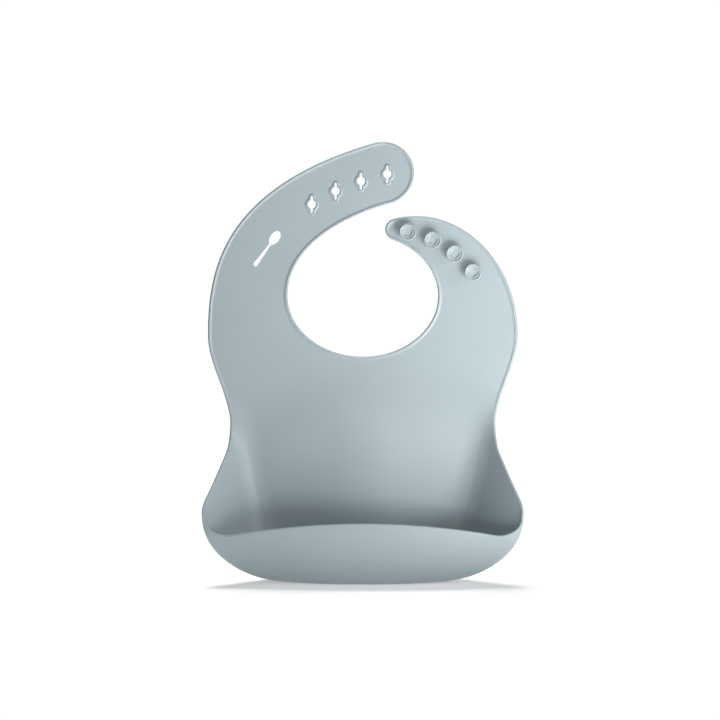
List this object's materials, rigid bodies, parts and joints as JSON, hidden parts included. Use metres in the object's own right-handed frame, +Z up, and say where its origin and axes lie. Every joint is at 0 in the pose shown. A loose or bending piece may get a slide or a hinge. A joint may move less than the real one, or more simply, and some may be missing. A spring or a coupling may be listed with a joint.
{
  "type": "bib",
  "caption": "Silicone catch-pocket bib: a thin moulded sheet with a neck ring that closes with studs through keyholes, standing on its folded pocket.",
  "frame": {"origin": "on the ground, under the middle of the bib's bounding box", "axes": "+X to the viewer's right as the bib is seen from the front, +Y back towards the wearer, +Z up from the pocket's foot to the neck straps"},
  "size_m": [0.2178, 0.058, 0.2986],
  "materials": {
    "silicone": "satin moulded silicone, blue-grey"
  },
  "bodies": {
    "pocket": {"lower_panel": "silicone", "left_gusset": "silicone", "right_gusset": "silicone", "pocket_floor": "silicone", "pocket_toe": "silicone", "waist_bend": "silicone"},
    "pocket_front": {"pocket_front_wall": "silicone"},
    "chest": {"chest_panel": "silicone", "hole_strap_root_bend": "silicone", "stud_strap_root_bend": "silicone"},
    "hole_strap": {"hole_strap": "silicone", "hole_strap_tip_bend": "silicone"},
    "hole_strap_tip": {"hole_strap_tip": "silicone", "keyhole_rim_1": "silicone", "keyhole_rim_2": "silicone", "keyhole_rim_3": "silicone", "keyhole_rim_4": "silicone"},
    "stud_strap": {"stud_strap": "silicone", "closure_button_1": "silicone", "closure_button_2": "silicone", "closure_button_3": "silicone", "closure_button_4": "silicone"}
  },
  "joints": [
    {"name": "waist_fold", "type": "hinge", "parent": "pocket", "child": "chest", "pos_m": [0, 0.0275, 0.138], "axis": [1, 0, 0], "range_deg": [-90, 135], "stiffness_Nm_per_rad": 0.4, "deforming": ["waist_bend"]},
    {"name": "hole_strap_flex", "type": "hinge", "parent": "chest", "child": "hole_strap", "pos_m": [-0.077, 0.0275, 0.1912], "axis": [-1, 0, 0], "range_deg": [-90, 90], "stiffness_Nm_per_rad": 0.15, "deforming": ["hole_strap_root_bend"]},
    {"name": "hole_strap_tip_flex", "type": "hinge", "parent": "hole_strap", "child": "hole_strap_tip", "pos_m": [-0.0477, 0.0275, 0.2452], "axis": [-0.682, 0, 0.7314], "range_deg": [-70, 70], "stiffness_Nm_per_rad": 0.08, "deforming": ["hole_strap_tip_bend"]},
    {"name": "stud_strap_flex", "type": "hinge", "parent": "chest", "child": "stud_strap", "pos_m": [0.077, 0.0275, 0.1912], "axis": [-1, 0, 0], "range_deg": [-90, 90], "stiffness_Nm_per_rad": 0.12, "deforming": ["stud_strap_root_bend"]},
    {"name": "pocket_front_flex", "type": "hinge", "parent": "pocket", "child": "pocket_front", "pos_m": [0, -0.0146, 0.005], "axis": [1, 0, 0], "range_deg": [-12, 12], "stiffness_Nm_per_rad": 0.15, "deforming": ["pocket_toe", "left_gusset", "right_gusset"]}
  ]
}
